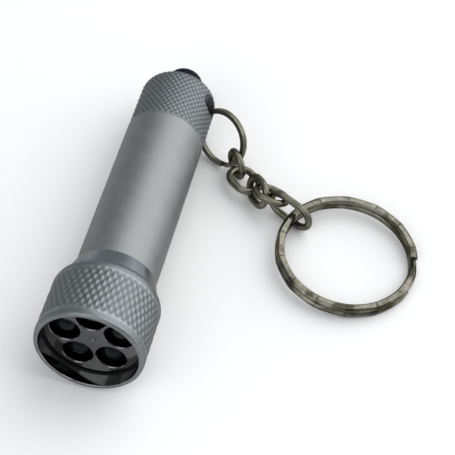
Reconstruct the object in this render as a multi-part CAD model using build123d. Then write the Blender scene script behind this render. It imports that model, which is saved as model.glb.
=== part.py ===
from build123d import *
import os
from math import asin, atan2, cos, degrees, radians, sin

# Keychain flashlight: knurled head with five lamps, plain barrel, knurled tail
# cap with a rubber push button, and a split ring, chain and key ring.
# Units are millimetres. The object lies on the ground, z = 0, with its head
# towards -Y. Along the torch, t runs from the tail cap's end plane to the head.

# ---- driving dimensions -------------------------------------------------------
BARREL_R = 7.0
BARREL_BORE_R = 6.2
LENGTH = 63.1
CAP_END = 12.66
BARREL_START = 12.72
BARREL_END = 47.0
NECK_START = 47.08
HEAD_R = 9.29
RIM_R = 8.93
RIM_START = 62.3
MOUTH_R = 8.38
THREAD_PITCH = 0.75

TAIL_CONTACT_T = 2.29       # where the rounded cap meets its full radius
HEAD_CONTACT_T = 52.3       # where the head reaches its full radius
TORCH_X = -20.0
TAIL_Y = 29.35
TILT = degrees(atan2(HEAD_R - BARREL_R, HEAD_CONTACT_T - TAIL_CONTACT_T))

BUTTON_R = 3.55
BUTTON_RISE = 5.3
BUTTON_TRAVEL = 1.2

LANYARD_AZ = -11.9          # round the cap from the right-hand side
LANYARD_T = 4.47
LANYARD_SLANT = -10.1
LANYARD_R = 1.3
LANYARD_OFFSET = 5.45       # axis of the hole from the torch's axis
LANYARD_FLARE = 0.36         # widening per length of the flared mouths, on their outer side
LANYARD_FLARE_AT = -36.0     # that side, round the hole from straight outwards

CAP_RING_R = 5.52           # outer radius
CAP_RING_IN_R = 4.62
CAP_RING_TURN = 0.46        # thickness of one of its two turns
CAP_RING_REACH = 5.5        # torch's axis to the wire inside the hole
CAP_RING_SWING = -33.3
CAP_RING_STEP_AT = 124.0
CAP_RING_STEP = 9.0         # half of the angle that the step takes

LINK_WIRE_R = 0.65
LINK_LEN = 5.8              # between wire centres
LINK_WIDTH = 4.5
END_LINK_LEN = 8.45
END_LINK_WIDTH = 4.9
END_LINK_SLIT = 0.3
# centre x, y, z, then heading, dip and roll of each link, from the cap ring on
LINK_POSES = (
    (-6.67, 18.62, 3.50, 113.5, 60.5, -104.0),
    (-4.60, 16.10, 2.45, -37.0, 1.5, -6.5),
    (-1.60, 13.70, 3.05, -51.0, -14.0, -105.0),
    (1.00, 12.50, 4.15, -15.0, 2.0, -23.0),
    (4.90, 10.85, 3.17, -27.0, 2.0, -89.0),
)

KEY_RING_R = 12.7           # outer radius
KEY_RING_IN_R = 11.2
KEY_RING_TURN = 1.17
KEY_RING_GAP = 0.06
KEY_RING_X = 16.43
KEY_RING_Y = 4.64
KEY_RING_LIFT = 1.5         # it leans on the end link, which runs under it
KEY_RING_LIFT_AT = 155.1
KEY_RING_STEP_AT = 202.0
KEY_RING_STEP = 15.0

LAMP_COUNT = 5
LAMP_PCR = 4.82
LAMP_BODY_R = 2.45
LAMP_FLANGE_R = 2.75
LAMP_HOLE_R = 2.53
LAMP_START_AZ = 168.5
LAMP_BASE = 51.6
LAMP_TIP = 60.0

CELL_R = 5.8
CELL_LEN = 5.4
CELL_PITCH = 5.42
CELL_COUNT = 4
CELL_FRONT = 44.3

OUT = "parts"
os.makedirs(OUT, exist_ok=True)


def save(name, shape):
    """Write one node."""
    shape.label = name
    export_step(shape, f"{OUT}/{name}.step")
    box = shape.bounding_box()
    print(f"{name:24s} vol {shape.volume:9.3f}  z {box.min.Z:7.3f} {box.max.Z:7.3f}")
    return box


def torch_place(shape):
    """Move a shape from the torch's own axes (z = t, x = right) to the ground frame."""
    tail_z = BARREL_R * cos(radians(TILT)) - TAIL_CONTACT_T * sin(radians(TILT))
    return Pos(TORCH_X, TAIL_Y, tail_z) * Rot(90 - TILT, 0, 0) * shape


def ring(r_out, r_in, t0, t1):
    """Plain ring or tube along the torch's axis."""
    body = Pos(0, 0, t0) * Cylinder(r_out, t1 - t0, align=(Align.CENTER, Align.CENTER, Align.MIN))
    if r_in <= 0:
        return body
    hole = Pos(0, 0, t0 - 1) * Cylinder(r_in, t1 - t0 + 2, align=(Align.CENTER, Align.CENTER, Align.MIN))
    return body - hole


def disc(r, t0, t1):
    return ring(r, 0, t0, t1)


def turned(points):
    """Revolve a closed (radius, t) outline about the torch's axis."""
    with BuildPart() as part:
        with BuildSketch(Plane.XZ):
            with BuildLine():
                Polyline(*points, close=True)
            make_face()
        revolve(axis=Axis.Z)
    return part.part


def coil(mean_r, wire_r, t0, t1, turns):
    """Round-wire compression spring between two planes."""
    rise = (t1 - t0 - 2 * wire_r) / turns
    path = Helix(pitch=rise, height=rise * turns, radius=mean_r)
    section = Plane(origin=path @ 0, z_dir=path % 0) * Circle(wire_r)
    return Pos(0, 0, t0 + wire_r) * sweep(section, path=path, is_frenet=True)


# ---- tail cap -----------------------------------------------------------------

def lanyard_axes():
    """Direction out of the wall, and along the hole, in the torch's own axes."""
    az = radians(LANYARD_AZ)
    slant = radians(LANYARD_SLANT)
    out = Vector(cos(az), sin(az), 0)
    level = Vector(-sin(az), cos(az), 0)
    along = level * cos(slant) + out.cross(level) * sin(slant)
    return out, along


def lanyard_hole():
    """Slanting chordal hole whose mouths flare on the side where the ring curves out."""
    out, along = lanyard_axes()
    mid = out * LANYARD_OFFSET + Vector(0, 0, LANYARD_T)
    place = Plane(origin=mid, z_dir=along, x_dir=out).location
    hole = Cylinder(LANYARD_R, 20)
    flare_start = 1.85
    flare_len = 4.0
    grow = flare_len * LANYARD_FLARE / 2
    outwards = degrees(atan2(LANYARD_FLARE, 2))
    for side in (1, -1):
        flare = Pos(0, 0, flare_len / 2) * Cone(LANYARD_R, LANYARD_R + grow, flare_len)
        flare = Rot(0, 0, LANYARD_FLARE_AT) * Pos(0, 0, flare_start) * Rot(0, outwards, 0) * flare
        hole += mirror(flare, about=Plane.XY) if side < 0 else flare
    return place * hole


def tail_cap():
    outer = BuildPart()
    with outer:
        with BuildSketch(Plane.XZ):
            with BuildLine():
                end = Polyline((3.65, 1.6), (3.65, 0), (5.01, 0))
                curve = ThreePointArc((5.01, 0), (6.17, 0.62), (BARREL_R, TAIL_CONTACT_T))
                Polyline(
                    (BARREL_R, TAIL_CONTACT_T),
                    (BARREL_R, CAP_END - 0.15),
                    (BARREL_R - 0.15, CAP_END),
                    (6.15, CAP_END),
                    (6.15, 13.0),
                    (5.5, 13.0),
                    (5.5, 13.8),
                    (6.15, 13.8),
                    (6.15, 17.0),
                    (5.95, 17.2),
                    (5.0, 17.2),
                    (5.0, 6.05),
                    (4.0, 6.05),
                    (4.0, 1.6),
                    (3.65, 1.6),
                )
            make_face()
        revolve(axis=Axis.Z)
    return outer.part - lanyard_hole()


def button_boot():
    """Rubber dome with a flange that sits behind the cap's end wall."""
    r = BUTTON_R
    top = -BUTTON_RISE
    outline = [
        (3.9, 1.65),
        (3.9, 2.5),
        (2.7, 2.5),
        (2.7, top + 2.0),
        (2.5, top + 1.45),
        (1.7, top + 0.95),
        (0, top + 0.8),
        (0, top),
        (0.9, top + 0.06),
        (1.7, top + 0.27),
        (2.4, top + 0.66),
        (2.95, top + 1.22),
        (3.3, top + 1.95),
        (r, top + 2.9),
        (r, 1.65),
    ]
    return turned(outline)


def switch_plunger():
    tip = 1.05 - BUTTON_RISE
    return disc(1.55, tip, 8.6) + disc(2.55, 3.3, 3.9) + disc(1.15, 8.6, 9.4)


def switch_housing():
    body = ring(4.93, 1.65, 6.2, 13.3)
    return body - disc(2.7, 9.0, 12.3) - disc(1.0, 12.0, 13.5)


def switch_contact():
    """Flanged brass contact between the switch and the battery spring."""
    return disc(2.9, 13.32, 13.72) + disc(0.95, 11.8, 13.32)


def switch_retainer():
    """Threaded ring with two spanner notches."""
    body = ring(4.95, 3.1, 13.35, 15.0)
    notch = Pos(0, 0, 14.75) * Box(12, 1.2, 1.0)
    return body - notch


# ---- barrel and cells ---------------------------------------------------------

def barrel():
    outline = [
        (BARREL_BORE_R, BARREL_START),
        (BARREL_R - 0.12, BARREL_START),
        (BARREL_R, BARREL_START + 0.12),
        (BARREL_R, BARREL_END - 0.12),
        (BARREL_R - 0.12, BARREL_END),
        (6.68, BARREL_END),
        (6.68, 47.4),
        (6.0, 47.4),
        (6.0, 48.15),
        (6.68, 48.15),
        (6.68, 50.4),
        (6.5, 50.6),
        (4.6, 50.6),
        (4.6, 44.8),
        (BARREL_BORE_R, 44.8),
    ]
    return turned(outline)


def o_ring(mean_r, wire_r, t):
    return Pos(0, 0, t) * Torus(mean_r, wire_r)


def cell_parts(front):
    """Can, seal and cap of one button cell, whose flat can face is at t = front."""
    back = front - CELL_LEN
    can = turned([
        (0, front),
        (CELL_R - 0.3, front),
        (CELL_R, front - 0.3),
        (CELL_R, back + 0.75),
        (CELL_R - 0.45, back + 0.3),
        (5.0, back + 0.3),
        (5.0, front - 3.4),
        (0, front - 3.4),
    ])
    seal = ring(5.0, 4.72, back + 0.22, front - 3.4)
    lid = turned([
        (0, back),
        (4.3, back),
        (4.7, back + 0.35),
        (4.7, front - 3.42),
        (0, front - 3.42),
    ])
    return can, seal, lid


# ---- head ---------------------------------------------------------------------

def bezel():
    outline = [
        (6.74, NECK_START),
        (7.25, NECK_START),
        (8.3, 50.45),
        (8.66, 50.75),
        (9.0, 51.2),
        (9.22, 51.75),
        (HEAD_R, HEAD_CONTACT_T),
        (HEAD_R, RIM_START),
        (9.2, RIM_START + 0.42),
        (RIM_R, LENGTH),
        (MOUTH_R + 0.1, LENGTH),
        (MOUTH_R, LENGTH - 0.1),
        (MOUTH_R, 60.65),
        (8.6, 60.65),
        (8.6, 52.3),
        (7.9, 52.3),
        (7.9, 50.7),
        (6.74, 50.7),
    ]
    return turned(outline)


def lamp_spots():
    """Centres of the lamps in the torch's own axes."""
    spots = []
    for k in range(LAMP_COUNT):
        az = radians(LAMP_START_AZ - 360 / LAMP_COUNT * k)
        spots.append((LAMP_PCR * cos(az), LAMP_PCR * sin(az), degrees(az)))
    return spots


def reflector_plate():
    plate = disc(8.54, 59.1, 60.32)
    for x, y, _ in lamp_spots():
        plate -= Pos(x, y, 59.7) * Cylinder(LAMP_HOLE_R, 4)
    plate -= Pos(0, 0, 60.32) * Sphere(0.35)
    return plate


def lamp(x, y):
    """Round lamp: flange, body and domed tip."""
    body_top = LAMP_TIP - LAMP_BODY_R
    with BuildPart() as part:
        with BuildSketch(Plane.XZ):
            with BuildLine():
                Polyline(
                    (0, body_top + LAMP_BODY_R),
                    (0, LAMP_BASE),
                    (LAMP_FLANGE_R, LAMP_BASE),
                    (LAMP_FLANGE_R, LAMP_BASE + 1.0),
                    (LAMP_BODY_R, LAMP_BASE + 1.0),
                    (LAMP_BODY_R, body_top),
                )
                CenterArc((0, body_top), LAMP_BODY_R, 0, 90)
            make_face()
        revolve(axis=Axis.Z)
    return Pos(x, y, 0) * part.part


def lamp_leads(x, y, az, radius, start):
    """The two legs of a lamp, through the board."""
    legs = []
    for side in (1, -1):
        leg = Pos(x, y, 0) * Rot(0, 0, az) * Pos(0, side * 1.27, 0) * disc(radius, start, LAMP_BASE)
        legs.append(leg)
    return legs


def led_board():
    board = disc(7.8, 50.8, LAMP_BASE)
    for x, y, az in lamp_spots():
        for hole in lamp_leads(x, y, az, 0.38, 50.4):
            board -= hole
    return board


# ---- rings and chain ----------------------------------------------------------

def split_ring(r_out, r_in, turn, gap, step, hand=1):
    """Two flat turns joined by one rising step at +X; z = 0 is the lower face."""
    pitch = turn + gap
    half = r_out * sin(radians(step))
    opening = Pos(r_out, 0, turn / 2) * Box(2 * r_in, 2 * half, 2 * turn)
    low = ring(r_out, r_in, 0, turn) - opening
    high = Pos(0, 0, pitch) * low
    with BuildPart() as rise:
        with BuildSketch(Plane.YZ):
            with BuildLine():
                Polyline(
                    (-half * hand, 0),
                    (-half * 0.4 * hand, 0),
                    (half * hand, pitch),
                    (half * hand, pitch + turn),
                    (half * 0.4 * hand, pitch + turn),
                    (-half * hand, turn),
                    close=True,
                )
            make_face()
        extrude(amount=r_out + 1)
    return low + high + (rise.part & ring(r_out, r_in, 0, pitch + turn))


def oval_link(length, width, wire_r, slit=0.0):
    """Closed oval of round wire in the XY plane, long way along X."""
    bend = width / 2
    run = length - width
    link = None
    for side in (1, -1):
        half = Rot(0, 0, -90 if side > 0 else 90) * Torus(bend, wire_r, major_angle=180, align=None)
        half = Pos(side * run / 2, 0, 0) * half
        rod = Pos(0, side * bend, 0) * Rot(0, 90, 0) * Cylinder(wire_r, run)
        link = half + rod if link is None else link + half + rod
    if slit > 0:
        link -= Pos(0.6, bend, 0) * Rot(0, 0, 20) * Box(slit, 3 * wire_r, 3 * wire_r)
    return link


def cap_ring():
    """Small split ring, in the torch's own axes."""
    out, along = lanyard_axes()
    reach = out.rotate(Axis((0, 0, 0), along), CAP_RING_SWING)
    centre = out * CAP_RING_REACH + Vector(0, 0, LANYARD_T) + reach * (CAP_RING_R + CAP_RING_IN_R) / 2
    plane = Plane(origin=centre, z_dir=reach.cross(along), x_dir=reach * -1)
    gap = 0.04
    ring_shape = split_ring(CAP_RING_R, CAP_RING_IN_R, CAP_RING_TURN, gap, CAP_RING_STEP)
    ring_shape = Pos(0, 0, -CAP_RING_TURN - gap / 2) * ring_shape
    return plane.location * Rot(0, 0, CAP_RING_STEP_AT) * ring_shape


def placed_link(index, shape):
    x, y, z, heading, dip, roll = LINK_POSES[index]
    return Pos(x, y, z) * Rot(0, 0, heading) * Rot(0, dip, 0) * Rot(roll, 0, 0) * shape


def key_ring():
    """Large split ring, leaning slightly towards the torch."""
    lean = degrees(asin(KEY_RING_LIFT / (2 * KEY_RING_R)))
    ring_shape = split_ring(KEY_RING_R, KEY_RING_IN_R, KEY_RING_TURN, KEY_RING_GAP, KEY_RING_STEP, -1)
    ring_shape = Rot(0, 0, KEY_RING_STEP_AT) * ring_shape
    place = Pos(KEY_RING_X, KEY_RING_Y, KEY_RING_LIFT / 2) * Rot(0, 0, KEY_RING_LIFT_AT) * Rot(0, -lean, 0)
    return place * ring_shape


# ---- build --------------------------------------------------------------------

save("tail_cap", torch_place(tail_cap()))
save("button_boot", torch_place(button_boot()))
save("switch_plunger", torch_place(switch_plunger()))
save("switch_return_spring", torch_place(coil(2.3, 0.16, 3.95, 6.15, 3)))
save("switch_housing", torch_place(switch_housing()))
save("switch_contact", torch_place(switch_contact()))
save("switch_retainer", torch_place(switch_retainer()))
save("tail_o_ring", torch_place(o_ring(5.84, 0.33, 13.4)))
save("battery_spring", torch_place(coil(2.2, 0.22, 13.76, 22.55, 5)))

save("barrel", torch_place(barrel()))
save("head_o_ring", torch_place(o_ring(6.35, 0.33, 47.77)))
save("battery_sleeve", torch_place(ring(6.15, 5.86, 18.0, 44.6)))
for k in range(CELL_COUNT):
    can, seal, lid = cell_parts(CELL_FRONT - k * CELL_PITCH)
    save(f"cell_can_{k + 1}", torch_place(can))
    save(f"cell_seal_{k + 1}", torch_place(seal))
    save(f"cell_lid_{k + 1}", torch_place(lid))

save("bezel", torch_place(bezel()))
save("bezel_seal", torch_place(ring(8.55, 8.13, 60.35, 60.62)))
save("reflector_plate", torch_place(reflector_plate()))
save("led_board", torch_place(led_board()))
save("front_contact_spring", torch_place(coil(3.0, 0.25, 44.35, 50.77, 4)))
for k, (x, y, az) in enumerate(lamp_spots()):
    save(f"led_{k + 1}", torch_place(lamp(x, y)))
    legs = lamp_leads(x, y, az, 0.25, 50.72)
    save(f"led_leads_{k + 1}", Compound(children=[torch_place(leg) for leg in legs]))

save("cap_ring", torch_place(cap_ring()))
for k in range(4):
    save(f"chain_link_{k + 1}", placed_link(k, oval_link(LINK_LEN, LINK_WIDTH, LINK_WIRE_R)))
save("end_link", placed_link(4, oval_link(END_LINK_LEN, END_LINK_WIDTH, LINK_WIRE_R, END_LINK_SLIT)))
save("key_ring", key_ring())
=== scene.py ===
"""Looks for the keychain flashlight: shapes in millimetres, objects in metres."""

import math

import bmesh
import bpy
import numpy as np
from mathutils import Matrix, Quaternion, Vector


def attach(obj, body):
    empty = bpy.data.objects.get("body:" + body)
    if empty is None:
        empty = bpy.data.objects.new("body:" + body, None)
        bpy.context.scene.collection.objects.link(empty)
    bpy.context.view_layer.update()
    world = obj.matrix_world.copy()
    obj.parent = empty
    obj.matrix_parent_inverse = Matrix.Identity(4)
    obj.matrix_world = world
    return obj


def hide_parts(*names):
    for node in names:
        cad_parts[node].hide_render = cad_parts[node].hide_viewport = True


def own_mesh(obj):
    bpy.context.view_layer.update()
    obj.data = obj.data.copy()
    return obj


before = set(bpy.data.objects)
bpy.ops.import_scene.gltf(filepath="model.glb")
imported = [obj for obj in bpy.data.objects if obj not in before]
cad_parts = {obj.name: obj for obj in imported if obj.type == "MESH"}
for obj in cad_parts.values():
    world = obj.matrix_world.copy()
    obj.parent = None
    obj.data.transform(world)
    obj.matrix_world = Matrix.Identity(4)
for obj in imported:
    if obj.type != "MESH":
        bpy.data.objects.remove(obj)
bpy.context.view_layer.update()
MM = 0.001
FULL_TURN = 2 * math.pi

# ---- main sizes in mm; t is measured along the torch from its tail -------------------
HEAD_R, BORE_R = 9.29, 8.38
BODY_R = 7.0                          # barrel and cap
CAP_BEND_T, CAP_LENGTH = 2.29, 12.66  # where the cap's round end stops, and its front edge
HEAD_BACK_T, HEAD_FRONT_T = 52.3, 63.1

# ---- the torch's own axes: x right, y up, z = t; it lies on its head and its cap -----
TILT = math.atan2(HEAD_R - BODY_R, HEAD_BACK_T - CAP_BEND_T)
TAIL = Vector((-20.0, 29.35, BODY_R * math.cos(TILT) - CAP_BEND_T * math.sin(TILT)))
TORCH = Matrix.Translation(TAIL) @ Matrix.Rotation(math.pi / 2 - TILT, 4, "X")
FORWARD = Vector((0, 0, 1))


# ---- mesh helpers --------------------------------------------------------------------
ON_AXIS = 1e-6                        # a smaller radius is a single point


class Mesh:
    """Vertices (mm), faces, and per-face material and smoothness, built up piece by piece."""

    def __init__(self):
        self.verts, self.faces, self.mats, self.smooth = [], [], [], []
        self.marks = {}

    def add(self, verts, faces, mat=0, smooth=True, **marks):
        """Append a part; mat and smooth are one value or one per face, marks one per vertex."""
        base = len(self.verts)
        self.verts += [tuple(map(float, v)) for v in verts]
        self.faces += [tuple(i + base for i in f) for f in faces]
        self.mats += list(mat) if hasattr(mat, "__len__") else [mat] * len(faces)
        self.smooth += list(smooth) if hasattr(smooth, "__len__") else [smooth] * len(faces)
        for name in dict.fromkeys([*self.marks, *marks]):
            column = self.marks.setdefault(name, [0.0] * base)
            column += list(marks.get(name, [0.0] * len(verts)))
        return self

    def build(self, name, place, materials):
        """Object at a placement in mm, with its normals outwards."""
        data = bpy.data.meshes.new(name)
        points = [place @ Vector(v) * MM for v in self.verts]
        data.from_pydata([tuple(p) for p in points], [], self.faces)
        for m in materials:
            data.materials.append(m)
        data.polygons.foreach_set("material_index", self.mats)
        data.polygons.foreach_set("use_smooth", self.smooth)
        for key, values in self.marks.items():
            data.attributes.new(key, "FLOAT", "POINT").data.foreach_set("value", values)
        data.validate()
        shell = bmesh.new()
        shell.from_mesh(data)
        bmesh.ops.recalc_face_normals(shell, faces=shell.faces)
        shell.to_mesh(data)
        shell.free()
        data.update()
        piece = bpy.data.objects.new(name, data)
        bpy.context.scene.collection.objects.link(piece)
        return piece


def rounded(points, radius, steps=3, closed=True):
    """Outline with rounded corners and a support point beside each; a third number
    in a point is its own radius. Gives the points and how exposed each one is."""
    out, wear = [], []
    n = len(points)
    for i, point in enumerate(points):
        p = Vector(point[:2])
        r = point[2] if len(point) > 2 else radius
        if (not closed and i in (0, n - 1)) or r <= 0:
            out.append(tuple(p))
            wear.append(0.0)
            continue
        a, b = Vector(points[i - 1][:2]), Vector(points[(i + 1) % n][:2])
        da, db = a - p, b - p
        angle = da.angle(db)
        reach = min(r / max(math.tan(angle / 2), 1e-3), 0.42 * da.length, 0.42 * db.length)
        pa, pb = p + da.normalized() * reach, p + db.normalized() * reach
        out.append(tuple(p + da.normalized() * reach * 1.15))
        wear.append(0.0)
        for k in range(steps + 1):
            s = k / steps
            out.append(tuple(pa * (1 - s) ** 2 + p * 2 * s * (1 - s) + pb * s * s))
            wear.append(1.0 - 0.35 * abs(2 * s - 1))
        out.append(tuple(p + db.normalized() * reach * 1.15))
        wear.append(0.0)
    return out, wear


def turned(mesh, outline, columns, closed=True, mat=0, wear=None, height=None, groove=None):
    """Turn an outline of (radius, t) about the axis. height gives, for each row, how far
    each column is pushed inwards; mat may be a function of the row's number."""
    n = len(outline)
    wear = wear or [0.0] * n
    height = height or [None] * n
    groove = groove or [None] * n
    az = np.arange(columns) * FULL_TURN / columns
    verts, start, marks_wear, marks_groove = [], [], [], []
    for i, (r, t) in enumerate(outline):
        start.append(len(verts))
        if r < ON_AXIS:
            verts.append((0, 0, t))
            marks_wear.append(wear[i])
            marks_groove.append(0.0)
            continue
        run = Vector(outline[(i + 1) % n]) - Vector(outline[i - 1])
        normal = Vector((run.y, -run.x)).normalized()
        for k in range(columns):
            d = height[i][k] if height[i] else 0.0
            rr, tt = r - normal.x * d, t - normal.y * d
            verts.append((rr * math.cos(az[k]), rr * math.sin(az[k]), tt))
            marks_wear.append(wear[i])
            marks_groove.append(groove[i][k] if groove[i] else 0.0)
    faces, mats = [], []
    for i in range(n if closed else n - 1):
        j = (i + 1) % n
        one, two = outline[i][0] < ON_AXIS, outline[j][0] < ON_AXIS
        kind = mat(i) if callable(mat) else mat
        for k in range(columns):
            m = (k + 1) % columns
            if one and two:
                continue
            if one:
                face = [(start[i], start[j] + m, start[j] + k)]
            elif two:
                face = [(start[i] + k, start[i] + m, start[j])]
            else:
                q = (start[i] + k, start[i] + m, start[j] + m, start[j] + k)
                if not (height[i] and height[j]):
                    face = [q]
                elif abs(height[i][k] - height[j][m]) <= abs(height[i][m] - height[j][k]):
                    face = [(q[0], q[1], q[2]), (q[0], q[2], q[3])]
                else:
                    face = [(q[0], q[1], q[3]), (q[1], q[2], q[3])]
            faces += face
            mats += [kind] * len(face)
    return mesh.add(verts, faces, mats, wear=marks_wear, groove=marks_groove)


def tube_faces(rows, size):
    """Quads between rows of size points each, then the two end caps."""
    faces = []
    for i in range(rows - 1):
        for k in range(size):
            m = (k + 1) % size
            faces.append((i * size + k, i * size + m, (i + 1) * size + m, (i + 1) * size + k))
    return faces + [tuple(reversed(range(size))), tuple((rows - 1) * size + k for k in range(size))]


def swept(path, sections, wear=None, dark=None):
    """Sweep sections along frames (origin, across, up), with flat end caps. wear is for each
    point of a section, dark for each frame."""
    size = len(sections[0])
    wear = wear or [0.0] * size
    dark = dark or [0.0] * len(path)
    verts = [origin + across * a + up * b
             for (origin, across, up), section in zip(path, sections) for a, b in section]
    faces = tube_faces(len(path), size)
    flags = [True] * (len(faces) - 2) + [False, False]
    return Mesh().add(verts, faces, smooth=flags, wear=list(wear) * len(path),
                      groove=[d for d in dark for _ in range(size)])


def circle(radius, count):
    """Round wire section."""
    return [(radius * math.cos(b), radius * math.sin(b)) for b in np.linspace(0, FULL_TURN, count + 1)[:-1]]


def cut_away(piece, cutters, crease):
    """Boolean difference, applied to the mesh, with edges above crease degrees kept sharp."""
    for cutter in cutters:
        mod = piece.modifiers.new("cut", "BOOLEAN")
        mod.operation, mod.solver, mod.object = "DIFFERENCE", "EXACT", cutter
    bpy.context.view_layer.update()
    data = bpy.data.meshes.new_from_object(piece.evaluated_get(bpy.context.evaluated_depsgraph_get()))
    piece.modifiers.clear()
    piece.data = data
    data.set_sharp_from_angle(angle=math.radians(crease))
    for cutter in cutters:
        bpy.data.objects.remove(cutter)


PER_BUMP = 8                          # mesh columns and rows for each bump of a knurl
KNURL_BLEND = 0.45                    # from even dimples (0) to grooves of constant depth (1)


def knurl(rows, count, pitch, depth, fade):
    """Diamond knurl of rounded bumps for rows at arc lengths: depth of cut, and how deep as
    a share, for each column. fade scales each row."""
    az = np.arange(count * PER_BUMP) / PER_BUMP
    heights, shares = [], []
    for s, weight in zip(rows, fade):
        one, two = (0.5 + 0.5 * np.cos(FULL_TURN * (az + hand * s / pitch)) for hand in (1, -1))
        cut = KNURL_BLEND * np.maximum(one, two) + (1 - KNURL_BLEND) * (one + two) / 2
        heights.append(list(cut * depth * weight))
        shares.append(list(cut * weight))
    return heights, shares


# ---- material helpers ----------------------------------------------------------------
COARSE_BUMP, FINE_BUMP = 0.00002, 0.00001   # heights in metres


class Finish:
    """A procedural material: a Principled shader with whatever drives it."""

    def __init__(self, name, **sockets):
        self.mat = bpy.data.materials.new(name)
        self.mat.use_nodes = True
        self.tree = self.mat.node_tree
        self.tree.nodes.clear()
        out = self.tree.nodes.new("ShaderNodeOutputMaterial")
        self.shader = self.tree.nodes.new("ShaderNodeBsdfPrincipled")
        self.tree.links.new(self.shader.outputs[0], out.inputs[0])
        for key, value in sockets.items():
            self.shader.inputs[key.replace("_", " ")].default_value = value

    def node(self, kind, inputs=None, **props):
        """Add a shader node whose inputs are values or other nodes' outputs."""
        made = self.tree.nodes.new("ShaderNode" + kind)
        for key, value in props.items():
            setattr(made, key, value)
        for key, value in (inputs or {}).items():
            if hasattr(value, "is_output"):
                self.tree.links.new(value, made.inputs[key])
            else:
                made.inputs[key].default_value = value
        return made.outputs

    def place(self, stretch=(1, 1, 1), torch=True):
        """Coordinates in millimetres, along the torch's own axes or the ground's."""
        coords = self.node("TexCoord")["Object"]
        if torch:
            turn = Matrix.Rotation(TILT - math.pi / 2, 4, "X")
            shift = -(turn @ TAIL)
            inputs = {"Vector": coords, "Location": shift, "Rotation": turn.to_euler(),
                      "Scale": (1 / MM,) * 3}
            coords = self.node("Mapping", inputs)["Vector"]
            return self.node("Mapping", {"Vector": coords, "Scale": stretch})["Vector"]
        return self.node("Mapping", {"Vector": coords, "Scale": [s / MM for s in stretch]})["Vector"]

    def noise(self, vector, scale, detail=3.0, rough=0.55):
        inputs = {"Vector": vector, "Scale": scale, "Detail": detail, "Roughness": rough}
        return self.node("TexNoise", inputs)["Fac"]

    def spread(self, value, low, high, start=0.3, end=0.7):
        """Value from start to end mapped to low to high."""
        inputs = {"Value": value, "From Min": start, "From Max": end, "To Min": low, "To Max": high}
        return self.node("MapRange", inputs)["Result"]

    def math(self, operation, a, b):
        return self.node("Math", {0: a, 1: b}, operation=operation)[0]

    def mark(self, name):
        """A number kept at the mesh's vertices: wear or groove."""
        return self.node("Attribute", attribute_name=name)["Fac"]

    def mix(self, fac, a, b):
        made = self.tree.nodes.new("ShaderNodeMix")
        made.data_type = "RGBA"
        for socket, value in ((0, fac), (6, a), (7, b)):
            if hasattr(value, "is_output"):
                self.tree.links.new(value, made.inputs[socket])
            else:
                made.inputs[socket].default_value = value
        return made.outputs[2]

    def bump(self, height, strength, distance=COARSE_BUMP, normal=None):
        inputs = {"Height": height, "Strength": strength, "Distance": distance}
        if normal is not None:
            inputs["Normal"] = normal
        return self.node("Bump", inputs)["Normal"]

    def set(self, **links):
        """Link outputs to the shader's sockets; gives the finished material."""
        for key, value in links.items():
            self.tree.links.new(value, self.shader.inputs[key.replace("_", " ")])
        return self.mat


def rgb(r, g, b):
    return (r, g, b, 1.0)


def turned_metal(name, dark, light, rough, marks, groove_shade=None, worn=None, blast=0.0, edge=(0.5, 0.5, 0.5)):
    """Lathe-turned metal: rings round the torch as strong as marks, cloudy colour between dark
    and light, painted shade darkening the grooves where the cut is deepest, worn edges, and the grain of
    blasting."""
    f = Finish(name, Metallic=1.0, Specular_Tint=rgb(*edge))
    here = f.place()
    cloud = f.noise(here, 0.45, 4)
    rings = f.noise(f.place((0.15, 0.15, 9.0)), 1.0, 5, 0.7)
    colour = f.mix(f.spread(cloud, 0, 1), rgb(*dark), rgb(*light))
    streaks = f.spread(rings, -0.2 * marks, 0.2 * marks)
    roughness = f.math("ADD", streaks, f.spread(cloud, rough - 0.03, rough + 0.03))
    # painted shade: the colour goes towards the given dark colour where the knurl's cut is deepest
    if groove_shade:
        deep = f.math("MULTIPLY", f.mark("groove"), f.spread(f.noise(here, 2.2, 3), 0.75, 1.0))
        colour = f.mix(deep, colour, rgb(*groove_shade))
        roughness = f.math("ADD", roughness, f.math("MULTIPLY", deep, 0.2))
    if worn:
        bare = f.math("MULTIPLY", f.mark("wear"), f.spread(f.noise(here, 1.7, 4), 0.1, 1.0, 0.4, 0.6))
        colour = f.mix(bare, colour, rgb(*worn))
        roughness = f.math("SUBTRACT", roughness, f.math("MULTIPLY", bare, 0.12))
    normal = f.bump(rings, marks, FINE_BUMP)
    if blast:
        normal = f.bump(f.noise(here, 11.0, 3, 0.6), blast, FINE_BUMP, normal)
    return f.set(Base_Color=colour, Roughness=roughness, Normal=normal)


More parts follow.
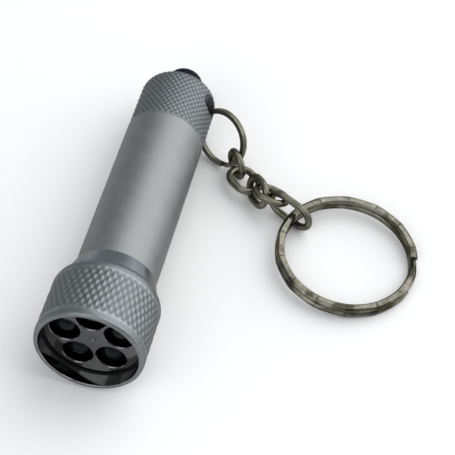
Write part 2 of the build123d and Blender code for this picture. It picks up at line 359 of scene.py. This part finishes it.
def wire_metal(name, dark, light, rough, tarnish, torch=False, patches=0.0):
    """Drawn or plated wire: blotchy tarnish, large patches of it, dark lines of painted shade, tiny pits."""
    f = Finish(name, Metallic=1.0, Specular_Tint=rgb(0.5, 0.48, 0.4))
    here = f.place(torch=torch)
    cloud = f.noise(here, 0.7, 5, 0.6)
    spots = f.noise(here, 3.1, 4, 0.65)
    colour = f.mix(f.spread(cloud, 0, 1, 0.35, 0.65), rgb(*dark), rgb(*light))
    colour = f.mix(f.spread(spots, 0, 0.75, 0.52, 0.72), colour, rgb(*tarnish))
    if patches:
        large = f.spread(f.noise(here, 0.34, 2, 0.4), 0, patches, 0.47, 0.6)
        colour = f.mix(large, colour, rgb(*tarnish))
    # painted shade: the marked lines, the key ring's crimps between flats, are darkened
    colour = f.mix(f.mark("groove"), colour, rgb(*(0.4 * v for v in tarnish)))
    rubbed = f.math("MULTIPLY", f.mark("wear"), 0.15)
    colour = f.mix(rubbed, colour, rgb(*(min(1.0, 1.5 * v) for v in light)))
    roughness = f.math("ADD", f.spread(spots, -0.05, 0.09), f.spread(cloud, rough + 0.05, rough - 0.03))
    scratch = f.noise(f.place((1.0, 7.0, 7.0), torch), 1.6, 4, 0.6)
    normal = f.bump(scratch, 0.12)
    normal = f.bump(f.noise(here, 9.0, 3), 0.14, FINE_BUMP, normal)
    return f.set(Base_Color=colour, Roughness=roughness, Normal=normal)


def moulded(name, dark, light, rough, grain=6.0, bump=0.15, **sockets):
    """Moulded plastic or rubber: fine grain and a slight cloudiness."""
    f = Finish(name, **sockets)
    here = f.place()
    cloud = f.noise(here, 0.9, 4)
    fine = f.noise(here, grain, 3, 0.6)
    colour = f.mix(f.spread(cloud, 0, 1), rgb(*dark), rgb(*light))
    roughness = f.math("ADD", f.spread(fine, -0.05, 0.05), f.spread(cloud, rough - 0.05, rough + 0.05))
    return f.set(Base_Color=colour, Roughness=roughness, Normal=f.bump(fine, bump))


# ---- materials -----------------------------------------------------------------------
ANODISED = turned_metal("anodised", (0.245, 0.256, 0.255), (0.28, 0.292, 0.292), 0.52, 0.02,
                        worn=(0.32, 0.33, 0.335), blast=0.14)
# the knurls' third colour is painted shade in their grooves
CAP_KNURL = turned_metal("cap_knurl", (0.25, 0.27, 0.28), (0.3, 0.32, 0.332), 0.5, 0.1,
                         groove_shade=(0.1, 0.107, 0.115), worn=(0.4, 0.42, 0.44), blast=0.1)
HEAD_KNURL = turned_metal("head_knurl", (0.25, 0.272, 0.28), (0.3, 0.322, 0.332), 0.4, 0.1,
                          groove_shade=(0.12, 0.13, 0.137), worn=(0.4, 0.42, 0.44), blast=0.1)
NECK = turned_metal("neck_polished", (0.22, 0.238, 0.26), (0.26, 0.28, 0.3), 0.24, 0.12,
                    worn=(0.36, 0.38, 0.4))
LIP = turned_metal("lip_turned", (0.176, 0.19, 0.197), (0.208, 0.223, 0.231), 0.46, 0.05,
                   worn=(0.27, 0.286, 0.296))
BORE = turned_metal("bore_mirror", (0.3, 0.297, 0.28), (0.36, 0.355, 0.335), 0.09, 0.05,
                    edge=(0.6, 0.6, 0.6))
INSIDE = turned_metal("inside_turned", (0.3, 0.31, 0.32), (0.4, 0.41, 0.42), 0.3, 0.3)
# painted shade: the lanyard hole's wall is coloured darker than the cap around it
HOLE_SHADE = turned_metal("hole_painted_shade", (0.12, 0.128, 0.135), (0.17, 0.178, 0.187), 0.42, 0.3)
CHROME = turned_metal("plate_chrome", (0.106, 0.108, 0.112), (0.13, 0.132, 0.137), 0.12, 0.04,
                      edge=(0.45, 0.45, 0.45))
RUBBER = moulded("rubber_navy", (0.001, 0.0015, 0.008), (0.002, 0.003, 0.014), 0.6, 5.0, 0.2,
                 Specular_IOR_Level=0.08)
SEAL = moulded("rubber_black", (0.002, 0.002, 0.003), (0.005, 0.005, 0.006), 0.5, 6.0, 0.2,
               Specular_IOR_Level=0.2)
CHAIN = wire_metal("chain_nickel", (0.13, 0.123, 0.096), (0.215, 0.207, 0.168), 0.32,
                   (0.06, 0.054, 0.037))
CAP_RING = wire_metal("cap_ring_nickel", (0.15, 0.143, 0.112), (0.24, 0.232, 0.19), 0.32,
                      (0.07, 0.063, 0.043))
KEY_RING = wire_metal("key_ring_nickel", (0.12, 0.116, 0.09), (0.225, 0.218, 0.184), 0.16,
                      (0.035, 0.031, 0.02), patches=0.9)
SPRING = wire_metal("spring_wire", (0.4, 0.4, 0.39), (0.55, 0.55, 0.54), 0.22, (0.25, 0.23, 0.2), torch=True)
CELL = turned_metal("cell_nickel", (0.5, 0.5, 0.48), (0.62, 0.62, 0.6), 0.2, 0.3)
CELL_SEAL = moulded("cell_nylon", (0.05, 0.05, 0.05), (0.09, 0.09, 0.09), 0.5)
SLEEVE = moulded("sleeve_card", (0.7, 0.7, 0.66), (0.8, 0.8, 0.77), 0.6, 3.0, 0.3)
SWITCH = moulded("switch_moulding", (0.018, 0.018, 0.019), (0.035, 0.035, 0.036), 0.4, 5.0, 0.2)
BOARD = moulded("board_green", (0.01, 0.09, 0.03), (0.02, 0.14, 0.05), 0.35, 1.6, 0.3)
TINNED = wire_metal("tinned_leg", (0.5, 0.5, 0.5), (0.66, 0.66, 0.66), 0.25, (0.3, 0.3, 0.3), torch=True)
# painted shade: the lamps' lead frame, tinned metal like the legs, is coloured near black to stay dark inside
# the unlit lamps
LEAD_FRAME_PAINTED_SHADE = wire_metal("lead_frame_painted_shade", (0.07, 0.075, 0.08), (0.12, 0.125, 0.13), 0.35, (0.04, 0.04, 0.045),
                        torch=True)
BRASS = turned_metal("contact_brass", (0.55, 0.38, 0.13), (0.68, 0.5, 0.2), 0.25, 0.2,
                     edge=(0.8, 0.7, 0.5))


def resin():
    """Clear resin tinted nearly black as painted shade, so the unlit lamps read dark; its index is lowered so
    that they reflect very little.
    """
    f = Finish("lamp_resin", Transmission_Weight=0.85, IOR=1.27, Specular_Tint=rgb(0.6, 0.82, 0.88))
    here = f.place()
    cloud = f.noise(here, 0.8, 3)
    # painted shade: a near-black colour for what is clear resin
    colour = f.mix(f.spread(cloud, 0, 1), rgb(0.012, 0.018, 0.02), rgb(0.02, 0.028, 0.03))
    fine = f.noise(here, 7.0, 2)
    normal = f.bump(fine, 0.03, FINE_BUMP)
    return f.set(Base_Color=colour, Roughness=f.spread(cloud, 0.1, 0.18), Normal=normal)


RESIN_PAINTED_SHADE = resin()
PHOSPHOR = moulded("phosphor", (0.4, 0.3, 0.04), (0.5, 0.39, 0.07), 0.6, 9.0)

# ---- camera --------------------------------------------------------------------------
ORBIT = math.radians(7.14)            # the view's turn round the ground frame
ELEVATION, DISTANCE, ROLL = math.radians(49.9), 298.73, math.radians(7.42)
AIM = Vector((-5.3, 6.35, 0.0))
LENS, SENSOR = 132.16, 36
turn = Matrix.Rotation(ORBIT, 3, "Z")
back = Vector((0, -math.cos(ELEVATION), math.sin(ELEVATION)))
right = Vector((1, 0, 0))
up = back.cross(right)
rolled_right = right * math.cos(ROLL) + up * math.sin(ROLL)
rolled_up = up * math.cos(ROLL) - right * math.sin(ROLL)
axes = Matrix([turn @ rolled_right, turn @ rolled_up, turn @ back]).transposed()
camera = bpy.data.objects.new("camera", bpy.data.cameras.new("camera"))
camera.data.lens = LENS
camera.data.sensor_width = SENSOR
camera.data.clip_start = 0.01
camera.matrix_world = Matrix.Translation((AIM + turn @ back * DISTANCE) * MM) @ axes.to_4x4()
bpy.context.scene.collection.objects.link(camera)
bpy.context.scene.camera = camera

# ---- head ----------------------------------------------------------------------------
SEAT_T, SEAT_R = 60.65, 8.6           # the step the front seal sits against, and the room behind it
NECK_T, NECK_R = 47.08, 7.25          # the neck's thin end
SHOULDER_T = 50.7                     # where the neck's cone meets the rounded shoulder


def knurled(name, rows, profile, rest, count, pitch, depth, fade, finish, materials):
    """A turned piece whose outline starts with knurled rows in its first material; profile gives
    a row's (radius, t), rest is the remaining outline with its wear, and finish its material."""
    outline = [profile(s) for s in rows] + rest[0]
    wear = [0.0] * len(rows) + rest[1]
    plain = [None] * len(rest[0])
    cut, share = knurl(rows, count, pitch, depth, fade)

    def slot(i):
        if i < len(rows):
            return 0
        middle = (Vector(outline[i]) + Vector(outline[(i + 1) % len(outline)])) / 2
        return materials.index(finish(*middle))

    mesh = turned(Mesh(), outline, count * PER_BUMP, mat=slot, wear=wear, height=cut + plain,
                  groove=share + plain)
    return mesh.build(name, TORCH, materials)


def head_finish(r, t):
    """Material of the head's plain parts at a radius and t."""
    if r <= BORE_R + 0.07 and t > SEAT_T - 0.05:
        return BORE
    if t > SHOULDER_T and r > SEAT_R + 0.02 or t > HEAD_FRONT_T - 0.7:
        return LIP
    if t < SHOULDER_T + 0.06 and r > NECK_R - 0.05 and (r - NECK_R) > (t - NECK_T) * 0.25:
        return NECK
    return INSIDE


HEAD_STARTS, HEAD_PITCH, HEAD_DEPTH, HEAD_FADE = 47, 2.15, 0.175, 0.45
first, last = 52.55, 61.55
rows = list(np.arange(first, last + 1e-6, HEAD_PITCH / PER_BUMP))
fade = [min(1.0, max(0.0, (t - first) / HEAD_FADE), max(0.0, (last - t) / HEAD_FADE)) for t in rows]
front = rounded(
    [(HEAD_R, last + 0.3, 0), (HEAD_R, 62.15, 0.6), (9.17, 62.8, 0.4), (8.93, HEAD_FRONT_T, 0.15),
     (8.43, HEAD_FRONT_T, 0.08), (BORE_R, 63.0, 0.05), (BORE_R, SEAT_T, 0.05), (SEAT_R, SEAT_T, 0.05),
     (SEAT_R, HEAD_BACK_T, 0.05), (7.9, HEAD_BACK_T, 0.05), (7.9, SHOULDER_T, 0.05), (6.74, SHOULDER_T, 0.05),
     (6.74, NECK_T, 0.05), (NECK_R, NECK_T, 0.1), (8.3, 50.45, 0.12), (8.66, 50.75, 0.5), (9.0, 51.2, 0.8),
     (9.22, 51.75, 0.8), (HEAD_R, 52.2, 0.3), (HEAD_R, first - 0.12, 0)],
    0, 4, closed=False)
head = knurled("head_bezel", rows, lambda t: (HEAD_R, t), front, HEAD_STARTS, HEAD_PITCH, HEAD_DEPTH, fade,
               head_finish, [HEAD_KNURL, NECK, LIP, BORE, INSIDE])

# ---- tail cap ------------------------------------------------------------------------
CAP_STARTS, CAP_PITCH, CAP_DEPTH = 42, 1.3, 0.13
END_R = 5.01                          # the cap's flat end
bend_mid = Vector((6.17, 0.62))       # a point of the arc between the flat end and the side
near, far = bend_mid - Vector((END_R, 0)), Vector((BODY_R - END_R, CAP_BEND_T))
twice_area = 2 * (near.x * far.y - near.y * far.x)
to_centre = Vector((far.y * near.length_squared - near.y * far.length_squared,
                    near.x * far.length_squared - far.x * near.length_squared)) / twice_area
bend_centre, bend_r = to_centre + Vector((END_R, 0)), to_centre.length
bend_start = math.atan2(*(-to_centre).yx)
bend_length = bend_r * (math.atan2(*(far - to_centre).yx) - bend_start)


def cap_profile(s):
    """(radius, t) of the cap's outside at arc length s from the edge of its flat end."""
    if s < bend_length:
        a = bend_start + s / bend_r
        return bend_centre.x + bend_r * math.cos(a), bend_centre.y + bend_r * math.sin(a)
    return BODY_R, CAP_BEND_T + s - bend_length


def cap_finish(r, t):
    """Material of the cap's plain parts: the end face and the front edge match the outside."""
    outside = t < 0.5 or (12.4 < t < 12.7 and r > 6.18)
    return CAP_KNURL if outside else INSIDE


end = bend_length + CAP_LENGTH - CAP_BEND_T - 0.14
rows = list(np.arange(0.1, end, CAP_PITCH / PER_BUMP))
fade = [min(1.0, (s + 0.1) / 0.6, max(0.0, (end - s) / 0.16)) for s in rows]
inside = rounded(
    [(BODY_R, CAP_LENGTH - 0.13, 0), (BODY_R, CAP_LENGTH, 0.1), (6.15, CAP_LENGTH, 0.05), (6.15, 13.0, 0.05),
     (5.5, 13.0, 0.05), (5.5, 13.8, 0.05), (6.15, 13.8, 0.05), (6.15, 17.0, 0.05), (5.95, 17.2, 0.05),
     (5.0, 17.2, 0.05), (5.0, 6.05, 0.05), (4.0, 6.05, 0.05), (4.0, 1.6, 0.05), (3.65, 1.6, 0.05),
     (3.65, 0, 0.12), (5.0, 0, 0)],
    0, 4, closed=False)
cap = knurled("tail_cap_knurled", rows, cap_profile, inside, CAP_STARTS, CAP_PITCH, CAP_DEPTH, fade,
              cap_finish, [CAP_KNURL, INSIDE])

# ---- the lanyard hole, whose mouths flare only on the side where the ring curves out -
HOLE_AZ, HOLE_SLANT, HOLE_SPIN = math.radians(-11.9), math.radians(-10.1), math.radians(-36)
HOLE_R, HOLE_REACH, HOLE_T, HOLE_HALF = 1.3, 5.45, 4.47, 5.9
FLARE_START, FLARE_RATE, FLARE_ROUND = 1.85, 0.18, 0.2
HOLE_COLUMNS = 64
outward = Vector((math.cos(HOLE_AZ), math.sin(HOLE_AZ), 0))
level = Vector((-math.sin(HOLE_AZ), math.cos(HOLE_AZ), 0))
along = level * math.cos(HOLE_SLANT) + outward.cross(level) * math.sin(HOLE_SLANT)
hole_axes = Matrix([outward, along.cross(outward), along]).transposed().to_4x4()
hole_place = TORCH @ Matrix.Translation(outward * HOLE_REACH + FORWARD * HOLE_T) @ hole_axes
verts = []
depths = [(k / 40) ** 1.4 * HOLE_HALF for k in range(41)]
for s in sorted({side * depth for depth in depths for side in (1, -1)}):
    past = abs(s) - FLARE_START
    grow = FLARE_RATE / 2 * (past + math.hypot(past, FLARE_ROUND))
    shift = Vector((grow * math.cos(HOLE_SPIN), grow * math.sin(HOLE_SPIN)))
    for k in range(HOLE_COLUMNS):
        a = FULL_TURN * k / HOLE_COLUMNS
        verts.append((shift.x + (HOLE_R + grow) * math.cos(a), shift.y + (HOLE_R + grow) * math.sin(a), s))
faces = tube_faces(len(verts) // HOLE_COLUMNS, HOLE_COLUMNS)
shaft = Mesh().add(verts, faces, wear=[0.0] * len(verts), groove=[0.0] * len(verts))
cut_away(cap, [shaft.build("cutter", hole_place, [HOLE_SHADE])], 55)

# ---- barrel, boot, seal --------------------------------------------------------------
outline, wear = rounded(
    [(6.2, 12.72, 0.05), (BODY_R, 12.72, 0.12), (BODY_R, 47.0, 0.12), (6.68, 47.0, 0.05), (6.68, 47.4, 0.04),
     (6.0, 47.4, 0.04), (6.0, 48.15, 0.04), (6.68, 48.15, 0.04), (6.68, 50.4, 0.05), (6.5, 50.6, 0.05),
     (4.6, 50.6, 0.1), (4.6, 44.8, 0.05), (6.2, 44.8, 0.05)],
    0, 4)
barrel = turned(Mesh(), outline, 192, wear=wear).build("barrel_anodised", TORCH, [ANODISED])

outline, wear = rounded(
    [(0, -4.5), (1.7, -4.35, 1.0), (2.5, -3.85, 0.6), (2.7, -3.3, 0.5), (2.7, 2.5, 0.05), (3.9, 2.5, 0.1),
     (3.9, 1.65, 0.1), (3.55, 1.65, 0.05), (3.55, -2.4, 1.5), (3.35, -3.35, 1.5), (2.98, -4.08, 1.5),
     (2.42, -4.64, 1.5), (1.7, -5.03, 1.5), (0.9, -5.24, 2.0), (0, -5.3)],
    0, 4, closed=False)
boot = turned(Mesh(), outline, 96, closed=False).build("button_boot_rubber", TORCH, [RUBBER])

outline, wear = rounded([(8.13, 60.35), (8.55, 60.35), (8.55, 60.62), (8.13, 60.62)], 0.1, 3)
seal = turned(Mesh(), outline, 160).build("front_seal", TORCH, [SEAL])

# ---- the button's return spring; the real one shortens as the button goes in, this mesh keeps one length ---
COIL_START, COIL_END, COIL_R, COIL_WIRE, COIL_TURNS, COIL_STEPS = 3.95, 6.15, 2.3, 0.16, 3, 40
rise = COIL_END - COIL_START - 2 * COIL_WIRE
path = []
for k in range(COIL_TURNS * COIL_STEPS + 1):
    a = FULL_TURN * k / COIL_STEPS
    t = COIL_START + COIL_WIRE + rise * k / (COIL_TURNS * COIL_STEPS)
    out = Vector((math.cos(a), math.sin(a), 0))
    path.append((out * COIL_R + FORWARD * t, out, FORWARD))
spring = swept(path, [circle(COIL_WIRE, 12)] * len(path)).build("return_spring", TORCH, [SPRING])

# ---- reflector plate -----------------------------------------------------------------
LAMPS = [math.radians(168.5 - 72 * k) for k in range(5)]
LAMP_CIRCLE = 4.82                    # radius of the circle the lamps stand on
outline, wear = rounded(
    [(0, 59.1), (8.54, 59.1, 0.08), (8.54, 60.32, 0.08), (0.5, 60.32, 0.12), (0.32, 60.1, 0.1), (0, 60.02)],
    0, 4, closed=False)
plate = turned(Mesh(), outline, 160, closed=False, wear=wear).build("mirror_plate", TORCH, [CHROME])
outline, _ = rounded(
    [(0, 58.4), (2.53, 58.4, 0), (2.53, 60.18, 0.1), (2.71, 60.33, 0), (2.9, 60.9, 0), (0, 60.9)],
    0, 4, closed=False)
cutters = []
for a in LAMPS:
    spot = TORCH @ Matrix.Translation((LAMP_CIRCLE * math.cos(a), LAMP_CIRCLE * math.sin(a), 0))
    cutters.append(turned(Mesh(), outline, 64, closed=False).build("cutter", spot, [CHROME]))
cut_away(plate, cutters, 20)

# ---- lamps ---------------------------------------------------------------------------
LAMP_R, LAMP_TIP, LAMP_BASE, LAMP_RIM = 2.45, 60.0, 51.6, 52.6


def block(mesh, x, y, half_x, half_y, t0, t1, mat):
    """Small rectangular post with chamfered top edges."""
    chamfer = 0.12
    levels = ((half_x, half_y, t0), (half_x, half_y, t1 - chamfer), (half_x - chamfer, half_y - chamfer, t1))
    corners = ((1, 1), (-1, 1), (-1, -1), (1, -1))
    verts = [(x + sx * a, y + sy * b, t) for a, b, t in levels for sx, sy in corners]
    faces = [(3, 2, 1, 0), (8, 9, 10, 11)]
    faces += [(i + k, i + (k + 1) % 4, i + 4 + (k + 1) % 4, i + 4 + k) for i in (0, 4) for k in range(4)]
    mesh.add(verts, faces, mat, False)


bulge = LAMP_TIP - LAMP_R             # where the dome begins
dome = [(LAMP_R * math.cos(b), bulge + LAMP_R * math.sin(b), 0)
        for b in np.linspace(0, math.pi / 2, 17)[1:-1]]
glass, _ = rounded(
    [(0, LAMP_BASE), (2.75, LAMP_BASE, 0.1), (2.75, LAMP_RIM, 0.12), (LAMP_R, LAMP_RIM, 0.08),
     (LAMP_R, bulge, 0), *dome, (0, LAMP_TIP)],
    0, 3, closed=False)
cup, _ = rounded(
    [(0, 54.0), (0.55, 54.0, 0.05), (0.8, 55.8, 0.04), (0.66, 55.8, 0.03), (0.34, 55.1, 0.05), (0, 55.1)],
    0, 2, closed=False)
chip, _ = rounded([(0, 55.06), (0.36, 55.06, 0), (0.5, 55.5, 0.1), (0, 55.68)], 0, 3, closed=False)
lamp = turned(Mesh(), glass, 64, closed=False)
turned(lamp, cup, 32, closed=False, mat=1)
turned(lamp, chip, 24, closed=False, mat=2)
block(lamp, 0.0, 0.95, 0.3, 0.28, 51.7, 54.02, 1)
block(lamp, 0.0, -1.05, 0.3, 0.3, 51.7, 55.4, 1)
lamps = []
for k, a in enumerate(LAMPS):
    spot = Matrix.Rotation(a, 4, "Z") @ Matrix.Translation((LAMP_CIRCLE, 0, 0))
    lamps.append(lamp.build(f"lamp_{k + 1}", TORCH @ spot, [RESIN_PAINTED_SHADE, LEAD_FRAME_PAINTED_SHADE, PHOSPHOR]))

# ---- rings ---------------------------------------------------------------------------


def two_turns(a, step, level, pitch):
    """Height of a split ring's wire at an angle from 0 to 720 degrees; it steps up at 360."""
    s = min(1.0, max(0.0, (a - 360 + step) / (2 * step)))
    return level + pitch * s * s * (3 - 2 * s)


def split_ring(name, place, material, angles, heights, sections, wear, hand=1, dark=None):
    """Two turns of shaped wire through stations at angles in degrees."""
    path = []
    for a, z in zip(angles, heights):
        out = Vector((math.cos(math.radians(a)), hand * math.sin(math.radians(a)), 0))
        path.append((FORWARD * z, out, FORWARD))
    return swept(path, sections, wear, dark).build(name, place, [material])


def ends(angles, gap):
    """Extra stations close to both ends keep the end faces crisp."""
    return sorted(set(list(angles) + [angles[0] + gap, angles[-1] - gap]))


SMALL_OUT, SMALL_IN, SMALL_HALF, SMALL_PITCH = 5.52, 4.62, 0.23, 0.5
SMALL_REACH = 5.5                     # from the torch's axis to the middle of the wire in the hole
reach = Quaternion(along, math.radians(-33.3)) @ outward
centre = outward * SMALL_REACH + FORWARD * HOLE_T + reach * (SMALL_OUT + SMALL_IN) / 2
normal = reach.cross(along)
ring_axes = Matrix([-reach, normal.cross(-reach), normal]).transposed().to_4x4()
small_place = (TORCH @ Matrix.Translation(centre) @ ring_axes @ Matrix.Rotation(math.radians(124), 4, "Z")
               @ Matrix.Translation((0, 0, -0.48)))
flat, flat_wear = rounded([(SMALL_IN, -SMALL_HALF), (SMALL_OUT, -SMALL_HALF), (SMALL_OUT, SMALL_HALF),
                           (SMALL_IN, SMALL_HALF)], 0.14, 4)
angles = ends(list(np.linspace(9.4, 720 - 9.4, 241)), 0.3)
heights = [two_turns(a, 9, SMALL_HALF, SMALL_PITCH) for a in angles]
small_ring = split_ring("small_split_ring", small_place, CAP_RING, angles, heights, [flat] * len(angles),
                        flat_wear)

FACETS = 14                           # flats stamped round one turn of the key ring
KEY_OUT, KEY_IN, KEY_THICK, KEY_PITCH = 12.7, 11.2, 1.17, 1.23


def crimp(a):
    """1 in the thin line between two flats, 0 elsewhere."""
    part = (a / 360 * FACETS) % 1.0
    return math.exp(-((min(part, 1 - part) / 0.018) ** 2))


def stamped(a):
    """Section of the key ring's wire, with a lens-shaped flat stamped into each outer edge."""
    part = (a / 360 * FACETS) % 1.0
    bow = 4 * part * (1 - part)
    outer = KEY_OUT - 0.03 * bow
    half = KEY_THICK / 2 - 0.035 * crimp(a)
    chamfer = 0.36 + 0.16 * bow ** 1.3
    drop = chamfer * 0.8
    return rounded([(KEY_IN, -half, 0.45), (outer - chamfer, -half, 0.3), (outer, -half + drop, 0.3),
                    (outer, half - drop, 0.3), (outer - chamfer, half, 0.3), (KEY_IN, half, 0.45)], 0, 6)


lean = math.asin(1.5 / (2 * KEY_OUT))
key_place = (Matrix.Translation((16.43, 4.64, 0.75)) @ Matrix.Rotation(math.radians(155.1), 4, "Z")
             @ Matrix.Rotation(-lean, 4, "Y") @ Matrix.Rotation(math.radians(202), 4, "Z"))
# closer together at the line between two flats
shares = [0, 0.01, 0.02, 0.035, 0.06, 0.12, 0.2, 0.3, 0.4, 0.5, 0.6, 0.7, 0.8, 0.88, 0.94, 0.965, 0.98, 0.99]
angles = [(k + share) * 360 / FACETS for k in range(2 * FACETS) for share in shares]
angles = ends([a for a in angles if 15.3 <= a <= 704.7], 0.15)
heights = [two_turns(a, 15, KEY_THICK / 2, KEY_PITCH) for a in angles]
# the last list paints shade into the crimp lines between the flats
key_ring = split_ring("key_split_ring", key_place, KEY_RING, angles, heights, [stamped(a)[0] for a in angles],
                      stamped(0)[1], -1, [0.8 * crimp(a) for a in angles])

# ---- chain ---------------------------------------------------------------------------
WIRE_R = 0.65


def oval(length, width, slit_at, slit):
    """Stations round an oval of wire, from one side of its butt joint to the other."""
    bend, run = width / 2, length - width
    total = 2 * run + FULL_TURN * bend
    gap_at = total - slit             # the first and last stations taper the wire's ends
    middle = np.linspace(0.06, gap_at - 0.06, int(total * 6))
    spots = np.concatenate([[0, 0.03], middle, [gap_at - 0.03, gap_at]])
    stations = []
    for s in spots:
        u = (s + slit / 2 + slit_at) % total
        if u < run / 2:
            p, d = (u, bend), (1, 0)
        elif u < run / 2 + math.pi * bend:
            a = math.pi / 2 - (u - run / 2) / bend
            p, d = (run / 2 + bend * math.cos(a), bend * math.sin(a)), (math.sin(a), -math.cos(a))
        elif u < 1.5 * run + math.pi * bend:
            p, d = (run / 2 - (u - run / 2 - math.pi * bend), -bend), (-1, 0)
        elif u < 1.5 * run + 2 * math.pi * bend:
            a = -math.pi / 2 - (u - 1.5 * run - math.pi * bend) / bend
            p, d = (-run / 2 + bend * math.cos(a), bend * math.sin(a)), (math.sin(a), -math.cos(a))
        else:
            p, d = (u - total, bend), (1, 0)
        stations.append((Vector((*p, 0)), Vector((*d, 0)).cross(FORWARD), FORWARD))
    return stations


# centre x, y, z; heading, dip and roll in degrees; length and width of the wire's axis; joint's place and gap
LINKS = (
    (-6.67, 18.62, 3.50, 113.5, 60.5, -104.0, 5.8, 4.5, -1.0, 0.03),
    (-4.60, 16.10, 2.45, -37.0, 1.5, -6.5, 5.8, 4.5, 0.6, 0.03),
    (-1.60, 13.70, 3.05, -51.0, -14.0, -105.0, 5.8, 4.5, -0.3, 0.03),
    (1.00, 12.50, 4.15, -15.0, 2.0, -23.0, 5.8, 4.5, 1.0, 0.03),
    (4.90, 10.85, 3.17, -27.0, 2.0, -89.0, 8.45, 4.9, 0.6, 0.3),
)
links = []
for k, (x, y, z, heading, dip, roll, length, width, seam, slit) in enumerate(LINKS):
    place = Matrix.Translation((x, y, z))
    for angle, axis in ((heading, "Z"), (dip, "Y"), (roll, "X")):
        place = place @ Matrix.Rotation(math.radians(angle), 4, axis)
    stations = oval(length, width, seam, slit)
    taper = [circle(0.93 * WIRE_R, 24)]
    sections = taper + [circle(WIRE_R, 24)] * (len(stations) - 2) + taper
    name = f"chain_wire_{k + 1}" if k < 4 else "end_link_wire"
    links.append(swept(stations, sections).build(name, place, [CHAIN]))

# ---- what each piece rides on and stands for -----------------------------------------
for piece, body, node, slot in (
    (head, "head", "bezel", "polished_head"),
    (seal, "head", "bezel_seal", "black_rubber"),
    (cap, "cap", "tail_cap", "anodised"),
    (barrel, "barrel_body", "barrel", "anodised"),
    (boot, "button", "button_boot", "black_rubber"),
    (spring, "cap", "switch_return_spring", "spring_steel"),
    (plate, "lamp_module", "reflector_plate", "reflector"),
    (small_ring, "small_ring", "cap_ring", "chain_steel"),
    (key_ring, "big_ring", "key_ring", "ring_steel"),
    *((lamps[k], "lamp_module", f"led_{k + 1}", "lamp_resin") for k in range(5)),
    *((links[k], f"link_{k + 1}", f"chain_link_{k + 1}", "chain_steel") for k in range(4)),
    (links[4], "last_link", "end_link", "chain_steel"),
):
    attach(piece, body)
    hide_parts(node)
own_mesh(spring)

# the nodes that keep their CAD mesh, by the start of their names
FINISHES = (
    ("front_contact_spring", SPRING), ("battery_spring", SPRING), ("switch_plunger", SWITCH),
    ("switch_housing", SWITCH), ("switch_contact", BRASS), ("switch_retainer", INSIDE), ("tail_o_ring", SEAL),
    ("head_o_ring", SEAL), ("battery_sleeve", SLEEVE), ("cell_can", CELL), ("cell_lid", CELL),
    ("cell_seal", CELL_SEAL), ("led_board", BOARD), ("led_leads", TINNED),
)
for node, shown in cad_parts.items():
    for prefix, finish in FINISHES:
        if node.startswith(prefix):
            shown.data.materials.clear()
            shown.data.materials.append(finish)
            shown.data.polygons.foreach_set("material_index", [0] * len(shown.data.polygons))

# ---- floor and light -----------------------------------------------------------------
FLOOR_HALF, FLOOR_DROP = 1.2, 0.00002
floor_mesh = bpy.data.meshes.new("floor")
corners = [(x * FLOOR_HALF, y * FLOOR_HALF, 0) for x, y in ((-1, -1), (1, -1), (1, 1), (-1, 1))]
floor_mesh.from_pydata(corners, [], [(0, 1, 2, 3)])
floor = bpy.data.objects.new("floor", floor_mesh)
floor.location.z = -FLOOR_DROP
bpy.context.scene.collection.objects.link(floor)
paper = Finish("floor_paper", Specular_IOR_Level=0.2)
grain = paper.noise(paper.place(torch=False), 1.5, 3)
floor_mesh.materials.append(paper.set(
    Base_Color=paper.mix(grain, rgb(0.86, 0.86, 0.86), rgb(0.88, 0.88, 0.88)),
    Roughness=paper.spread(grain, 0.7, 0.8), Normal=paper.bump(grain, 0.05)))


def softbox(name, direction, distance, size, power, colour):
    """Square area light facing the object from a direction."""
    light = bpy.data.lights.new(name, "AREA")
    light.shape, light.size, light.size_y = "RECTANGLE", size, size
    light.energy, light.color = power, colour
    lamp = bpy.data.objects.new(name, light)
    towards = Vector(direction).normalized()
    lamp.location = towards * distance
    lamp.rotation_euler = towards.to_track_quat("Z", "Y").to_euler()
    bpy.context.scene.collection.objects.link(lamp)


softbox("key", (0.56, 0.46, 0.72), 0.9, 1.5, 12.4, (1.0, 0.995, 0.985))
softbox("front", (-0.3, -0.75, 0.75), 1.0, 0.8, 3.4, (0.97, 0.985, 1.0))
world = bpy.data.worlds.new("room")
world.use_nodes = True
bpy.context.scene.world = world
backdrop = world.node_tree.nodes["Background"]
backdrop.inputs["Color"].default_value = rgb(0.64, 0.66, 0.68)
backdrop.inputs["Strength"].default_value = 0.63
bpy.context.scene.view_settings.view_transform = "Standard"
